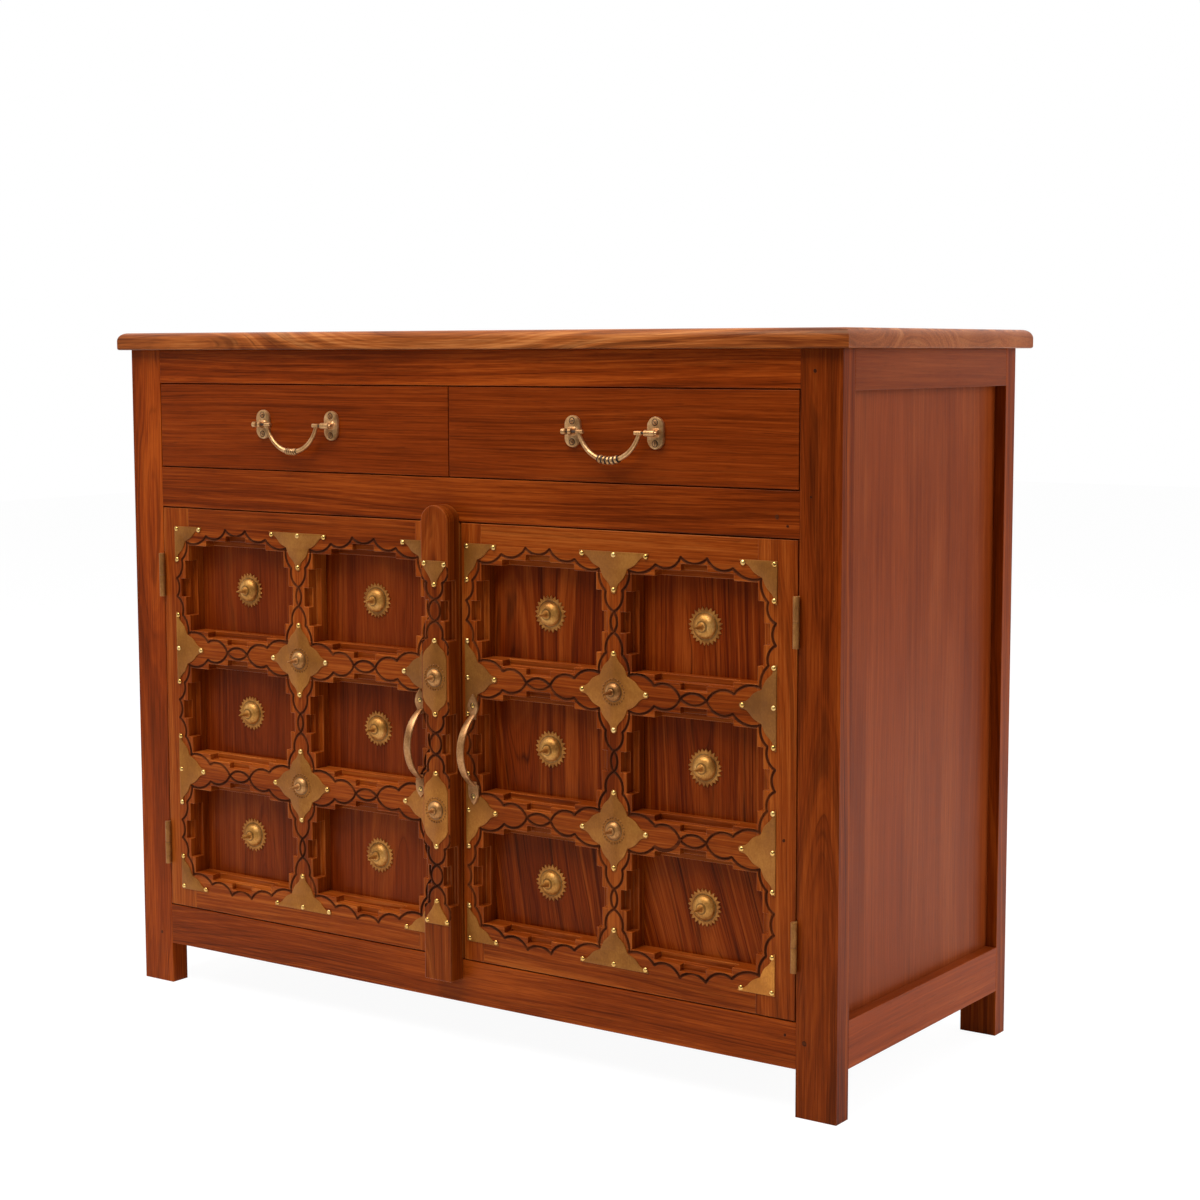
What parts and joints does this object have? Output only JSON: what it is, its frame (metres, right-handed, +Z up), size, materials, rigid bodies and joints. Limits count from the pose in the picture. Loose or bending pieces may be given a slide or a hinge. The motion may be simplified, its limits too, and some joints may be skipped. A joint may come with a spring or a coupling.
{
  "type": "carved sideboard",
  "caption": "Solid-wood sideboard on plank posts, with drawers on bail handles over doors whose carved lattice carries brass stars and spiked studs.",
  "frame": {"origin": "on the floor, under the middle of the whole piece's bounding box", "axes": "+Z up, -Y out of the doors and drawers, +X to the right of someone facing them"},
  "size_m": [1.152, 0.5176, 0.9144],
  "materials": {
    "top_wood": "satin",
    "case_wood": "satin",
    "side_wood": "satin",
    "door_wood": "satin",
    "door_panel_wood": "satin",
    "drawer_front_wood": "satin",
    "inner_wood": "matte",
    "plate_brass": "aged matte",
    "sunburst_brass": "aged satin",
    "stud_brass": "worn satin",
    "handle_brass": "worn satin",
    "hinge_brass": "aged matte"
  },
  "bodies": {
    "case": {"back_panels": "inner_wood", "bottom_board": "inner_wood", "bottom_cleats": "inner_wood", "drawer_divider": "inner_wood", "drawer_guides": "inner_wood", "drawer_kickers": "inner_wood", "drawer_runners": "inner_wood", "front_bottom_rail": "case_wood", "front_left_post": "case_wood", "front_middle_rail": "case_wood", "front_right_post": "case_wood", "front_top_rail": "case_wood", "hinge_case_leaves": "hinge_brass", "hinge_pins": "hinge_brass", "left_side_bottom_rail": "side_wood", "left_side_panel": "side_wood", "left_side_top_rail": "side_wood", "rear_left_post": "case_wood", "rear_rails": "inner_wood", "rear_right_post": "case_wood", "right_side_bottom_rail": "side_wood", "right_side_panel": "side_wood", "right_side_top_rail": "side_wood", "shelf": "inner_wood", "shelf_cleats": "inner_wood", "top_board": "top_wood"},
    "left_door": {"centre_stile": "door_wood", "centre_stile_plates": "plate_brass", "left_door_closing_stile": "door_wood", "left_door_hinge_leaves": "hinge_brass", "left_door_hinge_stile": "door_wood", "left_door_muntins": "door_wood", "left_door_panels": "door_panel_wood", "left_door_plates": "plate_brass", "left_door_pull": "handle_brass", "left_door_rails": "door_wood", "left_door_studs": "stud_brass", "left_door_sunbursts": "sunburst_brass"},
    "right_door": {"right_door_closing_stile": "door_wood", "right_door_hinge_leaves": "hinge_brass", "right_door_hinge_stile": "door_wood", "right_door_muntins": "door_wood", "right_door_panels": "door_panel_wood", "right_door_plates": "plate_brass", "right_door_pull": "handle_brass", "right_door_rails": "door_wood", "right_door_studs": "stud_brass", "right_door_sunbursts": "sunburst_brass"},
    "left_drawer": {"left_bail_brackets": "handle_brass", "left_drawer_back": "inner_wood", "left_drawer_bottom": "inner_wood", "left_drawer_front": "drawer_front_wood", "left_drawer_sides": "inner_wood"},
    "right_drawer": {"right_bail_brackets": "handle_brass", "right_drawer_back": "inner_wood", "right_drawer_bottom": "inner_wood", "right_drawer_front": "drawer_front_wood", "right_drawer_sides": "inner_wood"},
    "left_bail": {"left_bail": "handle_brass"},
    "right_bail": {"right_bail": "handle_brass"}
  },
  "joints": [
    {"name": "left_door_hinge", "type": "hinge", "parent": "case", "child": "left_door", "pos_m": [-0.5067, -0.2184, 0.392], "axis": [0, 0, -1], "range_deg": [0, 110]},
    {"name": "left_drawer_slide", "type": "slide", "parent": "case", "child": "left_drawer", "axis": [0, -1, 0], "range_m": [0, 0.3]},
    {"name": "left_bail_swing", "type": "hinge", "parent": "left_drawer", "child": "left_bail", "pos_m": [-0.25338, -0.2267, 0.792], "axis": [-1, 0, 0], "range_deg": [-10, 190]},
    {"name": "right_door_hinge", "type": "hinge", "parent": "case", "child": "right_door", "pos_m": [0.5067, -0.2184, 0.392], "axis": [0, 0, 1], "range_deg": [0, 110]},
    {"name": "right_drawer_slide", "type": "slide", "parent": "case", "child": "right_drawer", "axis": [0, -1, 0], "range_m": [0, 0.3]},
    {"name": "right_bail_swing", "type": "hinge", "parent": "right_drawer", "child": "right_bail", "pos_m": [0.25338, -0.2267, 0.792], "axis": [-1, 0, 0], "range_deg": [-10, 190]}
  ]
}
